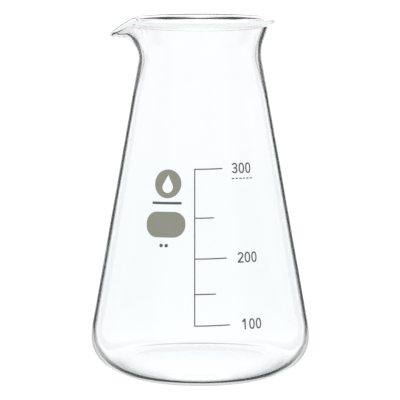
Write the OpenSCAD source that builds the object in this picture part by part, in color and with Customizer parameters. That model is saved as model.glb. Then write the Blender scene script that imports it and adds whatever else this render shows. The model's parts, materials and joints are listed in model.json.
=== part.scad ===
// Conical glass beaker with a pouring spout and a fired enamel volume scale.
// Millimetres. +Z is up, the origin is the centre of the circle it stands on,
// the spout points to -X and the scale faces -Y.

/* [Glass body] */
// Largest outside diameter, low on the body
body_d = 83.0; // [82:0.1:84]
// Overall height to the top of the lip
height = 133.1; // [132.5:0.1:137]
// Outside diameter of the neck at its narrowest
neck_d = 46.0; // [45.5:0.1:47]
// Lean of the conical side from upright, in degrees
taper = 10.2; // [10.1:0.01:10.4]
// Outside radius of the rounded heel at the edge of the base
heel_r = 12.7; // [11:0.1:14]
// Outside radius of the gentler curve between the heel and the conical side
side_r = 34; // [25:1:45]
// Thickness of the glass at the neck, lip and spout
wall = 1.8; // [1.4:0.1:2.1]
// Thickness of the glass of the conical side
side_wall = 1.2; // [1:0.1:1.8]
// Thickness of the glass of the heel where it meets the floor
heel_wall = 1.8; // [1:0.1:2.4]
// Distance below the spout's root over which the neck's glass thins to the side's
thinning = 14; // [8:1:20]
// Thickness of the floor
floor_t = 2.8; // [2.2:0.1:3.6]
// Height of the hollow pushed up under the base
punt_h = 2.5; // [1:0.1:3]
// Radial width of the ring that touches the bench
foot_w = 2.8; // [2:0.1:5]

/* [Neck and lip] */
// Outside radius where the side turns upright into the neck
neck_blend_r = 8; // [6:0.5:12]
// Outside radius of the flare above the neck
flare_r = 14; // [10:0.5:16]
// Lean of the flare's straight part, in degrees
flare_angle = 19; // [17:1:21]
// Length of the flare's straight part
flare_len = 5.3; // [4.5:0.1:6]
// Outside radius of the turn into the lip
lip_turn_r = 1.6; // [1.2:0.1:2.5]
// Lean of the turned-out lip, in degrees
lip_angle = 64; // [55:1:75]
// Straight length of the lip before its rounded edge
lip_len = 1.1; // [0.5:0.1:1.4]

/* [Spout] */
// Outside radius of the curve along the bottom of the spout
spout_curve_r = 7.2; // [6.5:0.1:8]
// Lean of the spout's bottom at its tip, in degrees
spout_angle = 80; // [70:1:86]
// Straight length at the end of the spout
spout_len = 4.0; // [3:0.1:4.5]
// Half of the angle that the spout takes up of the rim, in degrees
spout_half_angle = 27; // [24:1:32]
// Length of plain cone between the spout's root and the neck
spout_lead = 0.6; // [0.3:0.1:2]
// Roundness of the spout's tip seen from above
tip_round = 0.25; // [0.15:0.05:0.5]

/* [Volume scale] */
// Lowest marked volume, in millilitres
first_ml = 100; // [100:50:150]
// Highest marked volume, in millilitres
last_ml = 300; // [250:50:300]
// Step between the marks, in millilitres
step_ml = 50; // [50:50:100]
// Volume held above what each mark says, in millilitres
spare_ml = 1.7; // [0:0.1:5]
// Width of the scale's lines
line_w = 0.42; // [0.3:0.02:0.8]
// Sideways place of the upright line
spine_x = -2.0; // [-4:0.05:0]
// Azimuth of the ends of the numbered marks, in degrees from the front
long_tick_angle = 15.6; // [12:0.1:19]
// Azimuth of the ends of the marks between them, in degrees from the front
short_tick_angle = 8.6; // [6:0.1:11]
// Slant of the marks, in degrees
mark_slant = 0.9; // [0:0.1:2]
// Thickness of the enamel
enamel_t = 0.1; // [0.06:0.01:0.2]

/* [Numerals] */
// Height of a numeral
digit_h = 3.85; // [3:0.05:5]
// Width of a numeral
digit_w = 2.3; // [1.8:0.05:2.8]
// Width of a numeral's stroke
digit_stroke = 0.52; // [0.36:0.02:0.6]
// Clear space between numerals
digit_gap = 0.48; // [0.3:0.02:0.8]
// Azimuth of the numerals' near edge, in degrees from the front
numeral_edge = 22.4; // [20:0.1:25]
// Slant of the numerals, in degrees
numeral_slant = -2.3; // [-4:0.1:2]

/* [Other print] */
// Azimuth of the centre of the patch, disc and bars, in degrees from the front
left_angle = -22.4; // [-26:0.1:-20]
// Slant of those, in degrees
left_slant = 2.2; // [-2:0.1:4]
// Width and height of the patch for writing on
patch = [15.2, 9.2];
// Corner radius of the patch
patch_r = 4.3; // [3:0.1:4.5]
// Height of the patch's centre
patch_z = 60.4; // [59:0.1:61]
// Diameter of the plain disc
disc_d = 10.3; // [9:0.1:11]
// Height of the disc's centre
disc_z = 75.0; // [74.6:0.1:78]
// Diameter of the round part of the droplet left clear in the disc
drop_d = 4.2; // [3:0.1:5]
// Width and thickness of the plain bar under the disc
bar = [11.4, 0.9];
// Height of the bar's centre
bar_z = 68.1; // [67.6:0.1:68.5]
// Number of dashes in the row under the top numeral
dash_count = 6; // [4:1:8]
// Width and height of one dash
dash = [0.9, 0.42];
// Distance from one dash to the next
dash_pitch = 1.5; // [1.3:0.05:1.6]
// Drop from the top numeral's centre to the row of dashes
dash_drop = 3.7; // [3.2:0.05:4.5]
// Diameter of each of the two dots under the patch
dot_d = 1.3; // [0.8:0.1:1.6]
// Distance between the two dots
dot_pitch = 2.0; // [1.8:0.1:3]
// Height of the dots
dot_z = 52.9; // [51.5:0.1:53.5]

/* [Hidden] */

glass_color = [0.85, 0.93, 0.93, 0.45];
enamel_color = [0.55, 0.56, 0.52];
line_color = [0.42, 0.43, 0.41];

// Outline of the outside, walked from the edge of the foot to the lip. A step is
// [length, turn in degrees]. The heading is the lean outwards from upright.
foot_r = body_d / 2 - heel_r;
neck_r = neck_d / 2;
heel_end = [body_d / 2 - side_r * (1 - cos(taper)), heel_r + side_r * sin(taper)];
cone_end_r = neck_r + neck_blend_r * (1 - cos(taper));
cone_len = (heel_end[0] - cone_end_r) / sin(taper);
neck_z = heel_end[1] + cone_len * cos(taper) + neck_blend_r * sin(taper);
lip_rise = flare_r * sin(flare_angle) + flare_len * cos(flare_angle)
    + lip_turn_r * (sin(lip_angle) - sin(flare_angle)) + lip_len * cos(lip_angle)
    + wall / 2 * (1 + sin(lip_angle));
neck_len = height - lip_rise - neck_z;

function arc_len(r, turn) = r * turn * PI / 180;

heel_steps = [[arc_len(heel_r, 90), -90], [arc_len(side_r, taper), -taper]];
flare_steps = [
    [arc_len(neck_blend_r, taper), taper],
    [neck_len, 0],
    [arc_len(flare_r, flare_angle), flare_angle],
    [flare_len, 0],
    [arc_len(lip_turn_r, lip_angle - flare_angle), lip_angle - flare_angle],
    [lip_len, 0]
];
spout_steps = [
    [arc_len(spout_curve_r, taper + spout_angle), taper + spout_angle],
    [spout_len, 0]
];

// Radius, height and heading after going a distance along one step
function along(place, step, distance) =
    let (h0 = place[2], h1 = h0 + step[1] * distance / step[0])
    step[1] == 0
        ? [place[0] + distance * sin(h0), place[1] + distance * cos(h0), h0]
        : let (r = step[0] / (step[1] * PI / 180))
          [place[0] + r * (cos(h0) - cos(h1)), place[1] + r * (sin(h1) - sin(h0)), h1];

// Radius, height and heading after going a distance along a list of steps
function walk(place, steps, distance, i = 0) =
    i == len(steps) - 1 || distance <= steps[i][0]
        ? along(place, steps[i], distance)
        : walk(along(place, steps[i], steps[i][0]), steps, distance - steps[i][0], i + 1);

function total(steps, i = 0) = i == len(steps) ? 0 : steps[i][0] + total(steps, i + 1);

// The point of the wall that lies a depth inside an outside place
function inside(place, depth) =
    [place[0] - depth * cos(place[2]), place[1] + depth * sin(place[2])];

foot_edge = [foot_r, 0, 90];
cone_start = [heel_end[0], heel_end[1], -taper];

// The spout leaves the cone a little below its end. The wall is one turned piece up to
// the joint just below that, and one shaped rim above it.
spout_root = along(cone_start, [cone_len, 0], cone_len - spout_lead);
joint = along(spout_root, [1, 0], -spout_lead / 2);
thin_place = along(spout_root, [1, 0], -thinning);

// Thickness of the glass at a height: the heel's thins upwards to the side's
function glass_t(z) =
    let (s = min(1, max(0, (heel_end[1] - z) / (heel_end[1] - floor_t))))
    side_wall + (heel_wall - side_wall) * s * s * (3 - 2 * s);

// Hollow under the base and the floor above it, both shallow domes
punt_r = foot_r - foot_w;
dome_count = 4;
function dome_z(r) = punt_h * (1 - pow(r / punt_r, 2));
punt_points = [for (i = [0 : dome_count]) let (r = punt_r * i / dome_count) [r, dome_z(r)]];
floor_points = [for (i = [0 : dome_count])
    let (r = punt_r * (1 - i / dome_count)) [r, floor_t + dome_z(r)]];
floor_corner_r = foot_r + sqrt(pow(heel_r - heel_wall, 2) - pow(heel_r - floor_t, 2));

// Outline of the turned piece: under the base, up the outside, down the inside
heel_count = 13;
clear_step = 0.2;
heel_places = [for (i = [0 : heel_count])
    walk(foot_edge, heel_steps, i / heel_count * total(heel_steps))];
body_outline = concat(
    punt_points,
    [for (place = heel_places) [place[0], place[1]]],
    [[joint[0], joint[1]], [joint[0] - wall / cos(taper), joint[1]]],
    [inside(thin_place, side_wall)],
    [for (i = [heel_count : -1 : 0])
        let (place = heel_places[i], point = inside(place, glass_t(place[1])))
        if (point[1] > floor_t + clear_step) point],
    [[floor_corner_r, floor_t]],
    floor_points
);

// Radius of the outside of the cone, and of the space inside, at a height
cone_r0 = heel_end[0] + heel_end[1] * tan(taper);
function cone_r(z) = cone_r0 - z * tan(taper);
side_top = heel_r + (side_r - side_wall) * sin(taper);
function space_r(z) =
    z < heel_r ? foot_r + sqrt(pow(heel_r - glass_t(z), 2) - pow(heel_r - z, 2))
    : z < side_top ? body_d / 2 - side_r + sqrt(pow(side_r - glass_t(z), 2) - pow(z - heel_r, 2))
    : cone_r(z) - side_wall / cos(taper);

// Volume held below a height, in millilitres, and the height of a mark
slices = 80;
mm3_per_ml = 1000;
dome_ml = PI * pow(punt_r, 2) * punt_h / 2 / mm3_per_ml;
function held_ml(z, i = 0) =
    let (dz = (z - floor_t) / slices, r = space_r(floor_t + (i + 0.5) * dz))
    i == slices ? -dome_ml : PI * r * r * dz / mm3_per_ml + held_ml(z, i + 1);
function level(ml, low = 10, high = 110, tries = 22) =
    let (z = (low + high) / 2)
    tries == 0 ? z
    : held_ml(z) < ml + spare_ml ? level(ml, z, high, tries - 1)
    : level(ml, low, z, tries - 1);

// ---------- Glass ----------

// The rounded edge of the lip, from the outside round to the inside
cap_count = 5;
function edge_round(place) =
    let (middle = inside(place, wall / 2), lean = place[2])
    [for (i = [1 : cap_count - 1])
        let (turn = 180 * i / cap_count, out = wall / 2 * cos(turn), up = wall / 2 * sin(turn))
        [middle[0] + out * cos(lean) + up * sin(lean),
         middle[1] - out * sin(lean) + up * cos(lean)]];

// Shares of the way up the rim, closer together towards the lip
rim_count = 16;
rim_crowding = 1.5;
rim_shares = [for (i = [0 : rim_count]) 1 - pow(1 - i / rim_count, rim_crowding)];
rim_steps = concat([[spout_lead, 0]], flare_steps);
rim_places = [for (t = rim_shares) walk(spout_root, rim_steps, t * total(rim_steps))];
spout_places = [for (t = rim_shares) walk(spout_root, spout_steps, t * total(spout_steps))];

// How far the rim has turned into the spout: wholly at the spout's middle, not at all
// beyond its ends
spout_sharpness = 1.2;
function spout_share(angle) =
    let (u = abs(angle) / spout_half_angle,
         v = (sqrt(u * u + tip_round * tip_round) - tip_round)
             / (sqrt(1 + tip_round * tip_round) - tip_round))
    v >= 1 ? 0 : pow(1 - v, spout_sharpness);

// One section of the rim, which starts within the turned piece's wall just below the
// root, goes up the outside, round the edge and down the inside
function rim_section(share) =
    let (skin = 0.02,
         places = rim_places * (1 - share) + spout_places * share,
         below = along(spout_root, [1, 0], -spout_lead))
    concat(
        [inside(below, skin)],
        [for (place = places) inside(place, skin)],
        edge_round(places[rim_count]),
        [for (i = [rim_count : -1 : 0]) inside(places[i], wall - skin)],
        [inside(below, wall - skin)]
    );

// The rim above the joint, with sections closer together across the spout
module rim() {
    spout_columns = 22;
    other_columns = 50;
    other_span = 360 - 2 * spout_half_angle;
    angles = concat(
        [for (i = [0 : spout_columns - 1]) (2 * i / spout_columns - 1) * spout_half_angle],
        [for (i = [0 : other_columns - 1]) spout_half_angle + i * other_span / other_columns]
    );
    sections = [for (angle = angles) rim_section(spout_share(angle))];
    columns = len(angles);
    rows = len(sections[0]);
    points = [for (i = [0 : columns - 1], p = sections[i])
        [-p[0] * cos(angles[i]), -p[0] * sin(angles[i]), p[1]]];
    faces = [for (i = [0 : columns - 1], j = [0 : rows - 1])
        let (a = i * rows + j, b = i * rows + (j + 1) % rows, next = (i + 1) % columns * rows,
             c = next + (j + 1) % rows, d = next + j)
        each [[a, b, c], [a, c, d]]];
    polyhedron(points, faces, convexity = 6);
}

module vessel() {
    color(glass_color)
    union() {
        rotate_extrude($fn = 180) polygon(body_outline);
        rim();
    }
}

// ---------- Enamel ----------

// Keeps the part of an upright drawing that lies in the enamel's thin layer on the
// cone, seen from an azimuth. The drawing's x is sideways and its y is height.
module on_cone(azimuth) {
    gap = 0.01;
    z0 = 19.5;
    z1 = 100;
    inner0 = cone_r(z0) + gap;
    inner1 = cone_r(z1) + gap;
    intersection() {
        rotate_extrude($fn = 180)
            polygon([[inner0, z0], [inner0 + enamel_t, z0], [inner1 + enamel_t, z1], [inner1, z1]]);
        rotate([0, 0, azimuth])
            rotate([90, 0, 0])
                linear_extrude(body_d)
                    children();
    }
}

// An oval with sides a little flatter than an ellipse's
module oval(size) {
    count = 36;
    fullness = 0.88;
    function reach(half, share) = half * sign(share) * pow(abs(share), fullness);
    polygon([for (i = [0 : count - 1])
        let (angle = 360 * (i + 0.5) / count)
        [reach(size[0] / 2, cos(angle)), reach(size[1] / 2, sin(angle))]]);
}

module rounded_box(size, r) {
    for (x = [-1, 1], y = [-1, 1])
        translate([x * (size[0] / 2 - r), y * (size[1] / 2 - r)]) circle(r, $fn = 64);
    square([size[0] - 2 * r, size[1]], center = true);
    square([size[0], size[1] - 2 * r], center = true);
}

module zero() {
    difference() {
        oval([digit_w, digit_h]);
        oval([digit_w - 2 * digit_stroke, digit_h - 2 * digit_stroke]);
    }
}

module one() {
    flag = 0.8;
    translate([-digit_stroke / 2, -digit_h / 2]) square([digit_stroke, digit_h]);
    translate([0, digit_h / 2])
        polygon([[0, 0], [-digit_stroke / 2, 0], [-flag - digit_stroke / 2, -flag],
            [-flag - digit_stroke / 2, -flag - digit_stroke], [0, -flag - digit_stroke / 4]]);
}

// A ring of the numerals' stroke, less the part that a polygon covers
module open_ring(r, cut) {
    difference() {
        circle(r, $fn = 48);
        circle(r - digit_stroke, $fn = 48);
        polygon(cut * 2 * r);
    }
}

module two() {
    r = digit_w / 2;
    top = digit_h / 2 - r;
    foot = -digit_h / 2;
    start = 172;
    end = -36;
    count = 14;
    inner_foot = 1.6 * digit_stroke - r;
    function arc_point(radius, share) =
        let (angle = start + (end - start) * share)
        [radius * cos(angle), top + radius * sin(angle)];
    polygon(concat(
        [for (i = [0 : count]) arc_point(r, i / count)],
        [[inner_foot, foot + digit_stroke], [r, foot + digit_stroke], [r, foot],
            [-r, foot], [-r, foot + digit_stroke]],
        [for (i = [count : -1 : 0]) arc_point(r - digit_stroke, i / count)]
    ));
}

module three() {
    low_share = 0.29;
    opening = 0.25;
    bar_w = 0.18 * digit_w;
    overlap = 0.01;
    low_r = digit_h * low_share;
    high_r = (digit_h + digit_stroke) / 2 - low_r;
    translate([0, digit_h / 2 - high_r])
        open_ring(high_r, [[0, 0], [-1, opening], [-1, -1], [0, -1]]);
    translate([0, low_r - digit_h / 2])
        open_ring(low_r, [[0, 0], [-1, -opening], [-1, 1], [0, 1]]);
    translate([-bar_w, digit_h / 2 - 2 * high_r])
        square([bar_w + overlap, digit_stroke]);
}

// Azimuth of the middle of the numerals at a height
number_w = 3 * digit_w + 2 * digit_gap;
function numeral_angle(z) = numeral_edge + asin(number_w / 2 / cone_r(z));

// Three numerals side by side: the first one given, then two zeros
module numeral(ml) {
    z = level(ml);
    pitch = digit_w + digit_gap;
    color(line_color)
    on_cone(numeral_angle(z))
        translate([0, z])
            rotate(numeral_slant) {
                translate([-pitch, 0]) children();
                zero();
                translate([pitch, 0]) zero();
            }
}

module graduation_ladder() {
    numbered_ml = 100;
    spine_foot = level(first_ml);
    spine_top = level(last_ml);
    color(line_color)
    on_cone(0) {
        translate([spine_x - line_w / 2, spine_foot - line_w / 2])
            square([line_w, spine_top - spine_foot + line_w]);
        for (ml = [first_ml : step_ml : last_ml]) {
            z = level(ml);
            end_angle = ml % numbered_ml == 0 ? long_tick_angle : short_tick_angle;
            translate([spine_x, z])
                rotate(mark_slant)
                    translate([0, -line_w / 2])
                        square([cone_r(z) * sin(end_angle) - spine_x, line_w]);
        }
    }
}

module numeral_300() {
    numeral(300) three();
}

module numeral_200() {
    numeral(200) two();
}

module numeral_100() {
    numeral(100) one();
}

module dash_row() {
    z = level(last_ml);
    color(line_color)
    on_cone(numeral_angle(z))
        translate([0, z - dash_drop])
            rotate(numeral_slant)
                for (i = [0 : dash_count - 1])
                    translate([(i - (dash_count - 1) / 2) * dash_pitch, 0])
                        square(dash, center = true);
}

module plain_disc() {
    r = drop_d / 2;
    point = 2.1 * r;
    sink = 0.55 * r;
    shoulder = 0.98 * r;
    edge = acos(r / point);
    color(enamel_color)
    on_cone(left_angle)
        translate([0, disc_z])
            difference() {
                circle(disc_d / 2, $fn = 96);
                translate([0, -sink]) {
                    circle(r, $fn = 64);
                    polygon([[0, point], [-shoulder * sin(edge), shoulder * cos(edge)],
                        [shoulder * sin(edge), shoulder * cos(edge)]]);
                }
            }
}

module plain_bar() {
    color(line_color)
    on_cone(left_angle)
        translate([0, bar_z])
            rotate(left_slant)
                square(bar, center = true);
}

module writing_patch() {
    color(enamel_color)
    on_cone(left_angle)
        translate([0, patch_z])
            rotate(left_slant)
                rounded_box(patch, patch_r);
}

module dot_pair() {
    color(line_color)
    on_cone(left_angle)
        translate([0, dot_z])
            rotate(left_slant)
                for (side = [-1, 1])
                    translate([side * dot_pitch / 2, 0]) circle(dot_d / 2, $fn = 48);
}

vessel();
graduation_ladder();
numeral_300();
numeral_200();
numeral_100();
dash_row();
plain_disc();
plain_bar();
writing_patch();
dot_pair();
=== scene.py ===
"""Looks of the conical glass beaker: clear glass, fired enamel print, white studio.

Lengths in this file are in millimetres unless a comment says otherwise, and are turned
into metres by MM. The spout points to -X and the scale faces -Y.
"""

import json
import math

import bmesh
import bpy
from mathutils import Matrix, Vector


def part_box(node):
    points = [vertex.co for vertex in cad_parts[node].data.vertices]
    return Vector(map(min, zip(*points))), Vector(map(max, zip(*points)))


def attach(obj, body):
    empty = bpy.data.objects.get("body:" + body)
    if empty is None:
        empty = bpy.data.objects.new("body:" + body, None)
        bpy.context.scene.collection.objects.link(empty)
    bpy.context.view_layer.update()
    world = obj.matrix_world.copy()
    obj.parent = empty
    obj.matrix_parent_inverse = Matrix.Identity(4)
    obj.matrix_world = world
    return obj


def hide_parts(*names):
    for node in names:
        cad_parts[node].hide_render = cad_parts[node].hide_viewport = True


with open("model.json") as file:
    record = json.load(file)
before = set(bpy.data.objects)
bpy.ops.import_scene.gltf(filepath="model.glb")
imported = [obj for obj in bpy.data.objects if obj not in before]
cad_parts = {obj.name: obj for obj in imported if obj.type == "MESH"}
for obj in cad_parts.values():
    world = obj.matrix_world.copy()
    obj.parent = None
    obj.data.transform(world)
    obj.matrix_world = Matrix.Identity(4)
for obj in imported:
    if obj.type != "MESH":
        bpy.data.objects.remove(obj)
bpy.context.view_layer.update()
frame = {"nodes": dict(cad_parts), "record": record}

MM = 0.001

# ---- Glass outline, with the names of the CAD source; angles in radians ----
vessel_low, vessel_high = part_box("vessel")
HEIGHT = (vessel_high.z - vessel_low.z) / MM
BODY_D = 83.0
NECK_D = 46.0
TAPER = math.radians(10.2)
HEEL_R = 12.7
SIDE_R = 34.0
WALL = 1.8
SIDE_WALL = 1.2
HEEL_WALL = 1.8
THINNING = 14.0
FLOOR_T = 2.8
PUNT_H = 2.5
FOOT_W = 2.8
NECK_BLEND_R = 8.0
FLARE_R = 14.0
FLARE_ANGLE = math.radians(19)
FLARE_LEN = 5.3
LIP_TURN_R = 1.6
LIP_ANGLE = math.radians(64)
LIP_LEN = 1.1
SPOUT_LEAD = 0.6
SPOUT_CURVE_R = 7.2
SPOUT_ANGLE = math.radians(80)
SPOUT_LEN = 4.0
SPOUT_HALF_ANGLE = 27.0  # degrees
SPOUT_SHARPNESS = 1.2
TIP_ROUND = 0.25

# ---- Glass shape that only the looks need ----
# Width over which the floor and the heel run into each other inside
FLOOR_FILLET = 1.0
# How far round the heel, from under the base, the inside side ends and the floor starts
FLOOR_CORNER = math.radians(36)

# ---- Enamel shape ----
ENAMEL_LIFT = 0.02
ENAMEL_T = 0.1
ENAMEL_PITCH = 0.4
MERGE_DISTANCE = 0.0005
CUT_TOLERANCE = 1e-8  # metres

# ---- Mesh density ----
COLUMNS = 360
ROWS_DOME = 20
ROWS_HEEL = 48
ROWS_CONE = 24
ROWS_RIM = 72
ROWS_CAP = 12

# ---- Glass look ----
GLASS_IOR = 1.474
# Light that has bounced more often than this becomes an even glow
TRAP_DEPTH = 5
TRAP_COLOUR = (0.96, 0.985, 0.98)
# The glow's strength low down, higher up, and right beside the spout
TRAP_LIGHT_LOW = 0.92
TRAP_LIGHT = 0.97
TRAP_LIGHT_SPOUT = 0.05
# Heights between which the glow goes from its low strength to its higher one
TRAP_HEIGHTS = (8, 30)
# Sideways places and heights between which the glow changes beside the spout
SPOUT_PLACES = (-27, -24)
SPOUT_HEIGHTS = (108, 112)
# Tint of the glass surface by height: a faint blue-green of the glass, made lighter near the
# base and the top and darker in the middle as painted light and shade
GLASS_TINTS_AND_PAINTED_SHADE = (
    (6, (0.965, 0.972, 0.978)),
    (22, (0.936, 0.951, 0.956)),
    (60, (0.932, 0.950, 0.953)),
    (100, (0.951, 0.953, 0.962)),
)
# Colour taken on inside the glass, and how strongly, per metre
DEPTH_COLOUR = (0.76, 0.90, 0.87)
DEPTH_TINT = 2.5
# Slow waves of blown glass: their height, and how many to a metre
WAVE = 0.03
WAVE_SCALE = 70
WAVE_DETAIL = 1

# ---- Enamel look ----
SCALE_COLOUR = (0.135, 0.14, 0.13)
PATCH_COLOUR = (0.357, 0.368, 0.3)
# Darkest and lightest shade of the grain, as factors of the colour
SHADE_DARK = 0.86
SHADE_LIGHT = 1.14
# Fine grain and broader cloudiness: how many to a metre, and their shares of the shade
GRAIN_SCALE = 2600
GRAIN_DETAIL = 3
GRAIN_SHARE = 0.6
CLOUD_SCALE = 420
CLOUD_DETAIL = 2
CLOUD_SHARE = 0.4
GRAIN_BUMP = 0.35
GRAIN_HEIGHT = 0.02
ENAMEL_ROUGHNESS = 0.62
ENAMEL_SHEEN = 0.35

# ---- Studio: brightness by direction, seen from the camera ----
# A span gives where a dark card starts, where it is full, where it stops being full and
# where it ends. Its level is the brightness left where the card is full.
SIDE_SPAN = (0.27, 0.31, 0.55, 0.63)
SIDE_LEVEL = 0.04
ABOVE_SPAN = (0.80, 0.84, 0.98, 1.0)
ABOVE_LEVEL = 0.04
BELOW_SPAN = (0.34, 0.56, 0.86, 0.94)
BELOW_LEVEL = 0.0
# The cards stand behind the object only, and fade out across this span
BEHIND_SPAN = (-0.2, 0.2)
# Far out at the sides the studio is a little dimmer
OUTER_SPAN = (0.6, 0.9)
OUTER_LEVEL = 0.76
# From behind the object round to behind the camera
DEPTH_SPAN = (-0.3, 0.6)
BACK_LEVEL = 1.12
FRONT_LEVEL = 0.8
FLOOR_HALF = 1500
FLOOR_DROP = 0.05

# ---- Camera and light paths ----
CAMERA_PLACE = (0, -0.809, 0.187)  # metres
CAMERA_PITCH = math.radians(90 - 8.6)
CAMERA_LENS = 195.5
CAMERA_SENSOR = 36.0
CAMERA_SHIFT = (-0.0006, 0.0007)
CAMERA_REACH = 20  # metres
BOUNCES = 32


# ---- Outline ----
def arc(radius, turn):
    """One step of an outline: its length and how far it turns."""
    return (radius * abs(turn), turn)


def along(place, step, distance):
    """Radius, height and lean after going a distance along one step."""
    r, z, lean = place
    length, turn = step
    if turn == 0:
        return (r + distance * math.sin(lean), z + distance * math.cos(lean), lean)
    radius = length / turn
    new = lean + turn * distance / length
    return (
        r + radius * (math.cos(lean) - math.cos(new)),
        z + radius * (math.sin(new) - math.sin(lean)),
        new,
    )


def walk(place, steps, distance):
    """Radius, height and lean after going a distance along a list of steps."""
    for step in steps[:-1]:
        if distance <= step[0]:
            return along(place, step, distance)
        place = along(place, step, step[0])
        distance -= step[0]
    return along(place, steps[-1], distance)


def total(steps):
    """Length of a list of steps."""
    return sum(step[0] for step in steps)


def inside(place, depth):
    """The point that lies a depth inside an outside place."""
    return (place[0] - depth * math.cos(place[2]), place[1] + depth * math.sin(place[2]))


foot_r = BODY_D / 2 - HEEL_R
neck_r = NECK_D / 2
foot_edge = (foot_r, 0.0, math.pi / 2)
heel_end = (
    BODY_D / 2 - SIDE_R * (1 - math.cos(TAPER)),
    HEEL_R + SIDE_R * math.sin(TAPER),
    -TAPER,
)
cone_end_r = neck_r + NECK_BLEND_R * (1 - math.cos(TAPER))
cone_len = (heel_end[0] - cone_end_r) / math.sin(TAPER)
neck_z = heel_end[1] + cone_len * math.cos(TAPER) + NECK_BLEND_R * math.sin(TAPER)
lip_rise = (
    FLARE_R * math.sin(FLARE_ANGLE)
    + FLARE_LEN * math.cos(FLARE_ANGLE)
    + LIP_TURN_R * (math.sin(LIP_ANGLE) - math.sin(FLARE_ANGLE))
    + LIP_LEN * math.cos(LIP_ANGLE)
    + WALL / 2 * (1 + math.sin(LIP_ANGLE))
)
neck_len = HEIGHT - lip_rise - neck_z
heel_steps = [arc(HEEL_R, -math.pi / 2), arc(SIDE_R, -TAPER)]
rim_steps = [
    (SPOUT_LEAD, 0),
    arc(NECK_BLEND_R, TAPER),
    (neck_len, 0),
    arc(FLARE_R, FLARE_ANGLE),
    (FLARE_LEN, 0),
    arc(LIP_TURN_R, LIP_ANGLE - FLARE_ANGLE),
    (LIP_LEN, 0),
]
spout_steps = [arc(SPOUT_CURVE_R, TAPER + SPOUT_ANGLE), (SPOUT_LEN, 0)]
spout_root = along(heel_end, (cone_len, 0), cone_len - SPOUT_LEAD)
punt_r = foot_r - FOOT_W


def cone_r(z):
    """Outside radius of the cone at a height."""
    return heel_end[0] - (z - heel_end[1]) * math.tan(TAPER)


def dome_z(r):
    """Height of the hollow under the base."""
    return PUNT_H * (1 - (r / punt_r) ** 2) if r < punt_r else 0.0


def smooth_step(share):
    """A share from 0 to 1 that starts and ends level."""
    return share * share * (3 - 2 * share)


def glass_t(z):
    """Thickness of the glass at a height: the heel's thins upwards to the side's."""
    share = min(1.0, max(0.0, (heel_end[1] - z) / (heel_end[1] - FLOOR_T)))
    return SIDE_WALL + (HEEL_WALL - SIDE_WALL) * smooth_step(share)


def smooth_max(a, b, width):
    """The larger of two values, rounded where they cross."""
    share = min(1.0, max(0.0, 0.5 + 0.5 * (a - b) / width))
    return b + (a - b) * share + width * share * (1 - share) / 2


def spout_share(angle):
    """How far the rim has turned into the spout at an angle from the spout's middle."""
    u = abs(angle) / SPOUT_HALF_ANGLE
    v = (math.hypot(u, TIP_ROUND) - TIP_ROUND) / (math.hypot(1, TIP_ROUND) - TIP_ROUND)
    return 0.0 if v >= 1 else (1 - v) ** SPOUT_SHARPNESS


# ---- Sections: lists of radius and height at one angle ----
def edge_round(place):
    """The rounded edge of the lip, from the outside round to the inside."""
    r, z = inside(place, WALL / 2)
    c, s = math.cos(place[2]), math.sin(place[2])
    points = []
    for i in range(1, ROWS_CAP):
        turn = math.pi * i / ROWS_CAP
        out, up = WALL / 2 * math.cos(turn), WALL / 2 * math.sin(turn)
        points.append((r + out * c + up * s, z - out * s + up * c))
    return points


def rim_section(angle):
    """The rim's points above the spout's root at one angle: up, round and down."""
    share = spout_share(angle)
    places = []
    for i in range(ROWS_RIM + 1):
        t = i / ROWS_RIM
        plain = walk(spout_root, rim_steps, t * total(rim_steps))
        spout = walk(spout_root, spout_steps, t * total(spout_steps))
        places.append(tuple(a * (1 - share) + b * share for a, b in zip(plain, spout)))
    outer = [(p[0], p[1]) for p in places]
    inner = [inside(p, WALL) for p in reversed(places)]
    return outer + edge_round(places[-1]) + inner


def side_section():
    """The inside, down the cone, where the wall thins, then down the side and the heel."""
    points = []
    for i in range(1, ROWS_CONE + 1):
        depth = (cone_len - SPOUT_LEAD) * i / ROWS_CONE
        thin = (WALL - SIDE_WALL) * smooth_step(min(1.0, depth / THINNING))
        points.append(inside(along(spout_root, (1, 0), -depth), WALL - thin))
    high, low = total(heel_steps), HEEL_R * FLOOR_CORNER
    for i in range(1, ROWS_HEEL + 1):
        place = walk(foot_edge, heel_steps, high + (low - high) * i / ROWS_HEEL)
        points.append(inside(place, glass_t(place[1])))
    return points


def floor_section(last_r):
    """The inside along the floor, from a radius to its middle."""
    radius = HEEL_R - HEEL_WALL
    points = []
    for i in range(1, ROWS_HEEL + 1):
        r = last_r * (1 - i / (ROWS_HEEL + 1))
        heel_z = HEEL_R - math.sqrt(radius**2 - max(r - foot_r, 0.0) ** 2)
        points.append((r, smooth_max(FLOOR_T + dome_z(r), heel_z, FLOOR_FILLET)))
    return points


def wall_section(angle):
    """All of the wall's points at one angle, from under the base to the floor's middle."""
    under = [punt_r * i / ROWS_DOME for i in range(1, ROWS_DOME + 1)]
    heel = [total(heel_steps) * i / ROWS_HEEL for i in range(ROWS_HEEL + 1)]
    cone = [(cone_len - SPOUT_LEAD) * i / ROWS_CONE for i in range(1, ROWS_CONE)]
    outside = [(r, dome_z(r)) for r in under]
    outside += [walk(foot_edge, heel_steps, distance)[:2] for distance in heel]
    outside += [along(heel_end, (1, 0), distance)[:2] for distance in cone]
    side = side_section()
    return outside + rim_section(angle) + side + floor_section(side[-1][0])


# ---- Meshes ----
def finish_mesh(bm, name):
    """The mesh of a bmesh, with its faces turned outwards."""
    bmesh.ops.recalc_face_normals(bm, faces=bm.faces)
    mesh = bpy.data.meshes.new(name)
    bm.to_mesh(mesh)
    bm.free()
    return mesh


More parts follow.
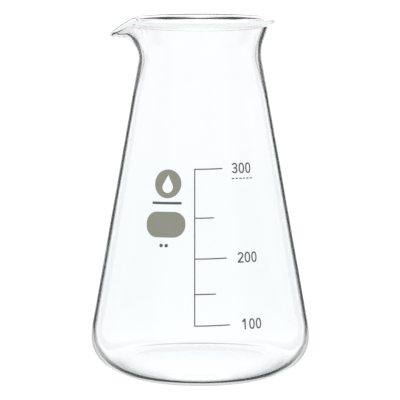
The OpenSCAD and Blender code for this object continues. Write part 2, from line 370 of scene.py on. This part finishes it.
def lathe_mesh(name, sections, angles, bottom, top):
    """A closed mesh in metres, from one section per angle, with a pole at each end."""
    bm = bmesh.new()
    columns = []
    for angle, section in zip(angles, sections):
        c, s = math.cos(math.radians(angle)), math.sin(math.radians(angle))
        columns.append([bm.verts.new((-r * c * MM, -r * s * MM, z * MM)) for r, z in section])
    low = bm.verts.new((0, 0, bottom * MM))
    high = bm.verts.new((0, 0, top * MM))
    for a, b in zip(columns, columns[1:] + columns[:1]):
        bm.faces.new((low, b[0], a[0]))
        bm.faces.new((high, a[-1], b[-1]))
        for i in range(len(a) - 1):
            bm.faces.new((a[i], b[i], b[i + 1], a[i + 1]))
    mesh = finish_mesh(bm, name)
    mesh.shade_smooth()
    return mesh


def add_object(name, mesh, material):
    """A new object in the scene with one material."""
    obj = bpy.data.objects.new(name, mesh)
    bpy.context.scene.collection.objects.link(obj)
    mesh.materials.clear()
    mesh.materials.append(material)
    return obj


def add_piece(name, mesh, material, node):
    """A visible piece that stands for one CAD node and rides on the root body."""
    obj = add_object(name, mesh, material)
    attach(obj, "root")
    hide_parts(node)


def build_glass(material):
    """The beaker's glass, as one closed mesh."""
    angles = [360 * i / COLUMNS - 180 for i in range(COLUMNS)]
    sections = [wall_section(angle) for angle in angles]
    mesh = lathe_mesh("glass_body", sections, angles, PUNT_H, FLOOR_T + PUNT_H)
    add_piece("glass_body", mesh, material, "vessel")


def build_enamel(node, material):
    """A CAD print, cut finely and laid on the smooth cone."""
    bm = bmesh.new()
    bm.from_mesh(frame["nodes"][node].data)
    bmesh.ops.remove_doubles(bm, verts=bm.verts, dist=MERGE_DISTANCE * MM)
    low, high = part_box(node)
    for axis in (0, 2):
        normal = [0.0, 0.0, 0.0]
        normal[axis] = 1.0
        count = int((high[axis] - low[axis]) / (ENAMEL_PITCH * MM))
        for i in range(1, count):
            centre = Vector((0, 0, 0))
            centre[axis] = low[axis] + (high[axis] - low[axis]) * i / count
            bmesh.ops.bisect_plane(
                bm,
                geom=bm.verts[:] + bm.edges[:] + bm.faces[:],
                dist=CUT_TOLERANCE,
                plane_co=centre,
                plane_no=normal,
            )
    for vert in bm.verts:
        reach = math.hypot(vert.co.x, vert.co.y)
        cone = cone_r(vert.co.z / MM) * MM
        is_outer = reach - cone > ENAMEL_T * MM / 2
        new = cone + (ENAMEL_LIFT + (ENAMEL_T if is_outer else 0)) * MM
        vert.co.x *= new / reach
        vert.co.y *= new / reach
    name = node + "_print"
    add_piece(name, finish_mesh(bm, name), material, node)


# ---- Nodes ----
def set_inputs(node, **values):
    """Sets a node's inputs, whose names are given with _ for a space."""
    for name, value in values.items():
        node.inputs[name.replace("_", " ")].default_value = value


def maths(tree, operation, *values):
    """The result of a maths node on numbers and sockets."""
    node = tree.nodes.new("ShaderNodeMath")
    node.operation = operation
    for socket, value in zip(node.inputs, values):
        if isinstance(value, (int, float)):
            socket.default_value = value
        else:
            tree.links.new(value, socket)
    return node.outputs[0]


def ramp(tree, value, span, low, high, shape="LINEAR"):
    """A number that goes from low to high while a value crosses a span."""
    node = tree.nodes.new("ShaderNodeMapRange")
    node.interpolation_type = shape
    set_inputs(node, From_Min=span[0], From_Max=span[1], To_Min=low, To_Max=high)
    tree.links.new(value, node.inputs["Value"])
    return node.outputs["Result"]


def new_material(name):
    """A material, its node tree and its shader."""
    material = bpy.data.materials.new(name)
    material.use_nodes = True
    return material, material.node_tree, material.node_tree.nodes["Principled BSDF"]


def add_noise(tree, scale, detail):
    """A noise pattern fixed to the object."""
    place = tree.nodes.new("ShaderNodeTexCoord")
    noise = tree.nodes.new("ShaderNodeTexNoise")
    set_inputs(noise, Scale=scale, Detail=detail)
    tree.links.new(place.outputs["Object"], noise.inputs["Vector"])
    return noise.outputs["Fac"]


def add_bump(tree, shader, height, strength, distance):
    """Bumps the shader's surface by a height socket."""
    bump = tree.nodes.new("ShaderNodeBump")
    set_inputs(bump, Strength=strength, Distance=distance * MM)
    tree.links.new(height, bump.inputs["Height"])
    tree.links.new(bump.outputs["Normal"], shader.inputs["Normal"])


# ---- Materials ----
def trap_glow(tree, place):
    """The glow that replaces light which has bounced too often, by place."""
    glow = tree.nodes.new("ShaderNodeEmission")
    set_inputs(glow, Color=(*TRAP_COLOUR, 1))
    spans = (TRAP_HEIGHTS, SPOUT_PLACES, SPOUT_HEIGHTS)
    heights, spout_places, spout_heights = ([end * MM for end in span] for span in spans)
    low_down = ramp(tree, place["Z"], heights, TRAP_LIGHT_LOW, TRAP_LIGHT)
    beside_spout = ramp(tree, place["X"], spout_places, TRAP_LIGHT_SPOUT, 1.0)
    under_spout = ramp(tree, place["Z"], spout_heights, 1.0, 0.0)
    near_spout = maths(tree, "MAXIMUM", beside_spout, under_spout)
    strength = maths(tree, "MULTIPLY", low_down, near_spout)
    tree.links.new(strength, glow.inputs["Strength"])
    return glow.outputs[0]


def tint_and_painted_shade_by_height(tree, z):
    """The tint of the glass surface at a height, with painted light and shade by height."""
    node = tree.nodes.new("ShaderNodeValToRGB")
    stops = node.color_ramp.elements
    for stop, (height, colour) in zip((stops[0], stops[1]), (GLASS_TINTS_AND_PAINTED_SHADE[0], GLASS_TINTS_AND_PAINTED_SHADE[-1])):
        stop.position, stop.color = height / HEIGHT, (*colour, 1)
    for height, colour in GLASS_TINTS_AND_PAINTED_SHADE[1:-1]:
        stops.new(height / HEIGHT).color = (*colour, 1)
    tree.links.new(ramp(tree, z, (0.0, HEIGHT * MM), 0.0, 1.0), node.inputs["Fac"])
    return node.outputs["Color"]


def glass_material():
    """Clear glass, tinted by height and by depth, with slow waves; the tint by height is
    partly painted light and shade.
    """
    material, tree, shader = new_material("clear_glass")
    nodes, links = tree.nodes, tree.links
    set_inputs(shader, Roughness=0.0, IOR=GLASS_IOR, Transmission_Weight=1.0)
    geometry = nodes.new("ShaderNodeNewGeometry")
    split = nodes.new("ShaderNodeSeparateXYZ")
    links.new(geometry.outputs["Position"], split.inputs[0])
    links.new(tint_and_painted_shade_by_height(tree, split.outputs["Z"]), shader.inputs["Base Color"])
    add_bump(tree, shader, add_noise(tree, WAVE_SCALE, WAVE_DETAIL), 1.0, WAVE)
    path = nodes.new("ShaderNodeLightPath")
    mix = nodes.new("ShaderNodeMixShader")
    trapped = maths(tree, "GREATER_THAN", path.outputs["Ray Depth"], TRAP_DEPTH)
    links.new(trapped, mix.inputs[0])
    links.new(shader.outputs[0], mix.inputs[1])
    links.new(trap_glow(tree, split.outputs), mix.inputs[2])
    output = nodes["Material Output"]
    links.new(mix.outputs[0], output.inputs["Surface"])
    depth = nodes.new("ShaderNodeVolumeAbsorption")
    set_inputs(depth, Color=(*DEPTH_COLOUR, 1), Density=DEPTH_TINT)
    links.new(depth.outputs[0], output.inputs["Volume"])
    return material


def enamel_material(name, colour):
    """Fired enamel: finely grained, slightly clouded and matte."""
    material, tree, shader = new_material(name)
    grain = add_noise(tree, GRAIN_SCALE, GRAIN_DETAIL)
    cloud = add_noise(tree, CLOUD_SCALE, CLOUD_DETAIL)
    clouded = maths(tree, "MULTIPLY", cloud, CLOUD_SHARE)
    mix = tree.nodes.new("ShaderNodeMix")
    mix.data_type = "RGBA"
    for socket, factor in (("A", SHADE_DARK), ("B", SHADE_LIGHT)):
        mix.inputs[socket].default_value = (*[c * factor for c in colour], 1)
    shade = maths(tree, "MULTIPLY_ADD", grain, GRAIN_SHARE, clouded)
    tree.links.new(shade, mix.inputs["Factor"])
    tree.links.new(mix.outputs["Result"], shader.inputs["Base Color"])
    add_bump(tree, shader, grain, GRAIN_BUMP, GRAIN_HEIGHT)
    set_inputs(shader, Roughness=ENAMEL_ROUGHNESS, Specular_IOR_Level=ENAMEL_SHEEN)
    return material


# ---- Studio ----
def studio_brightness(tree):
    """Brightness by direction from the camera: white, with dark cards that draw edges."""
    geometry = tree.nodes.new("ShaderNodeNewGeometry")
    turn = tree.nodes.new("ShaderNodeVectorTransform")
    turn.vector_type = "VECTOR"
    turn.convert_from = "WORLD"
    turn.convert_to = "CAMERA"
    split = tree.nodes.new("ShaderNodeSeparateXYZ")
    tree.links.new(geometry.outputs["Incoming"], turn.inputs["Vector"])
    tree.links.new(turn.outputs["Vector"], split.inputs["Vector"])
    x, y, z = (split.outputs[axis] for axis in "XYZ")

    def smooth(value, span, low, high):
        """A smooth ramp."""
        return ramp(tree, value, span, low, high, "SMOOTHSTEP")

    behind = smooth(z, BEHIND_SPAN, 1.0, 0.0)

    def card(value, span, level):
        """A factor that drops to a level where a value lies in a span, behind the object."""
        near = smooth(value, span[:2], 0.0, 1.0)
        far = smooth(value, span[2:], 1.0, 0.0)
        full = maths(tree, "MULTIPLY", maths(tree, "MULTIPLY", near, far), behind)
        return maths(tree, "MULTIPLY_ADD", full, level - 1, 1.0)

    sideways = maths(tree, "ABSOLUTE", x)
    sides = card(sideways, SIDE_SPAN, SIDE_LEVEL)
    above = card(maths(tree, "MULTIPLY", y, -1.0), ABOVE_SPAN, ABOVE_LEVEL)
    below = card(y, BELOW_SPAN, BELOW_LEVEL)
    outer = smooth(sideways, OUTER_SPAN, 1.0, OUTER_LEVEL)
    front = smooth(z, DEPTH_SPAN, BACK_LEVEL, FRONT_LEVEL)
    level = maths(tree, "MULTIPLY", sides, maths(tree, "MULTIPLY", front, outer))
    return maths(tree, "MULTIPLY", level, maths(tree, "MULTIPLY", above, below))


def build_studio():
    """The world and a self-lit floor, both bright by direction, so the floor has no edge."""
    world = bpy.data.worlds.new("studio")
    world.use_nodes = True
    bpy.context.scene.world = world
    tree = world.node_tree
    background = tree.nodes["Background"]
    set_inputs(background, Color=(1, 1, 1, 1))
    tree.links.new(studio_brightness(tree), background.inputs["Strength"])
    material = bpy.data.materials.new("pale_floor")
    material.use_nodes = True
    tree = material.node_tree
    tree.nodes.remove(tree.nodes["Principled BSDF"])
    glow = tree.nodes.new("ShaderNodeEmission")
    tree.links.new(studio_brightness(tree), glow.inputs["Strength"])
    tree.links.new(glow.outputs["Emission"], tree.nodes["Material Output"].inputs["Surface"])
    mesh = bpy.data.meshes.new("floor")
    half = FLOOR_HALF * MM
    signs = ((-1, -1), (1, -1), (1, 1), (-1, 1))
    corners = [(x * half, y * half, -FLOOR_DROP * MM) for x, y in signs]
    mesh.from_pydata(corners, [], [(0, 1, 2, 3)])
    add_object("floor", mesh, material)


def build_camera():
    """The camera at the photo's angle."""
    data = bpy.data.cameras.new("camera")
    data.lens = CAMERA_LENS
    data.sensor_width = CAMERA_SENSOR
    data.shift_x, data.shift_y = CAMERA_SHIFT
    data.clip_end = CAMERA_REACH
    camera = bpy.data.objects.new("camera", data)
    bpy.context.scene.collection.objects.link(camera)
    camera.location = CAMERA_PLACE
    camera.rotation_euler = (CAMERA_PITCH, 0, 0)
    bpy.context.scene.camera = camera


# ---- Scene ----
build_glass(glass_material())
enamels = {
    "scale_enamel": enamel_material("scale_enamel", SCALE_COLOUR),
    "patch_enamel": enamel_material("patch_enamel", PATCH_COLOUR),
}
for part in frame["record"]["subparts"]:
    if part["material_slot"] in enamels:
        slot = part["material_slot"]
        build_enamel(part["node"], enamels[slot])
build_studio()
build_camera()
settings = bpy.context.scene
settings.view_settings.view_transform = "Standard"
settings.cycles.max_bounces = BOUNCES
settings.cycles.transmission_bounces = BOUNCES
settings.cycles.glossy_bounces = BOUNCES
settings.cycles.use_denoising = True
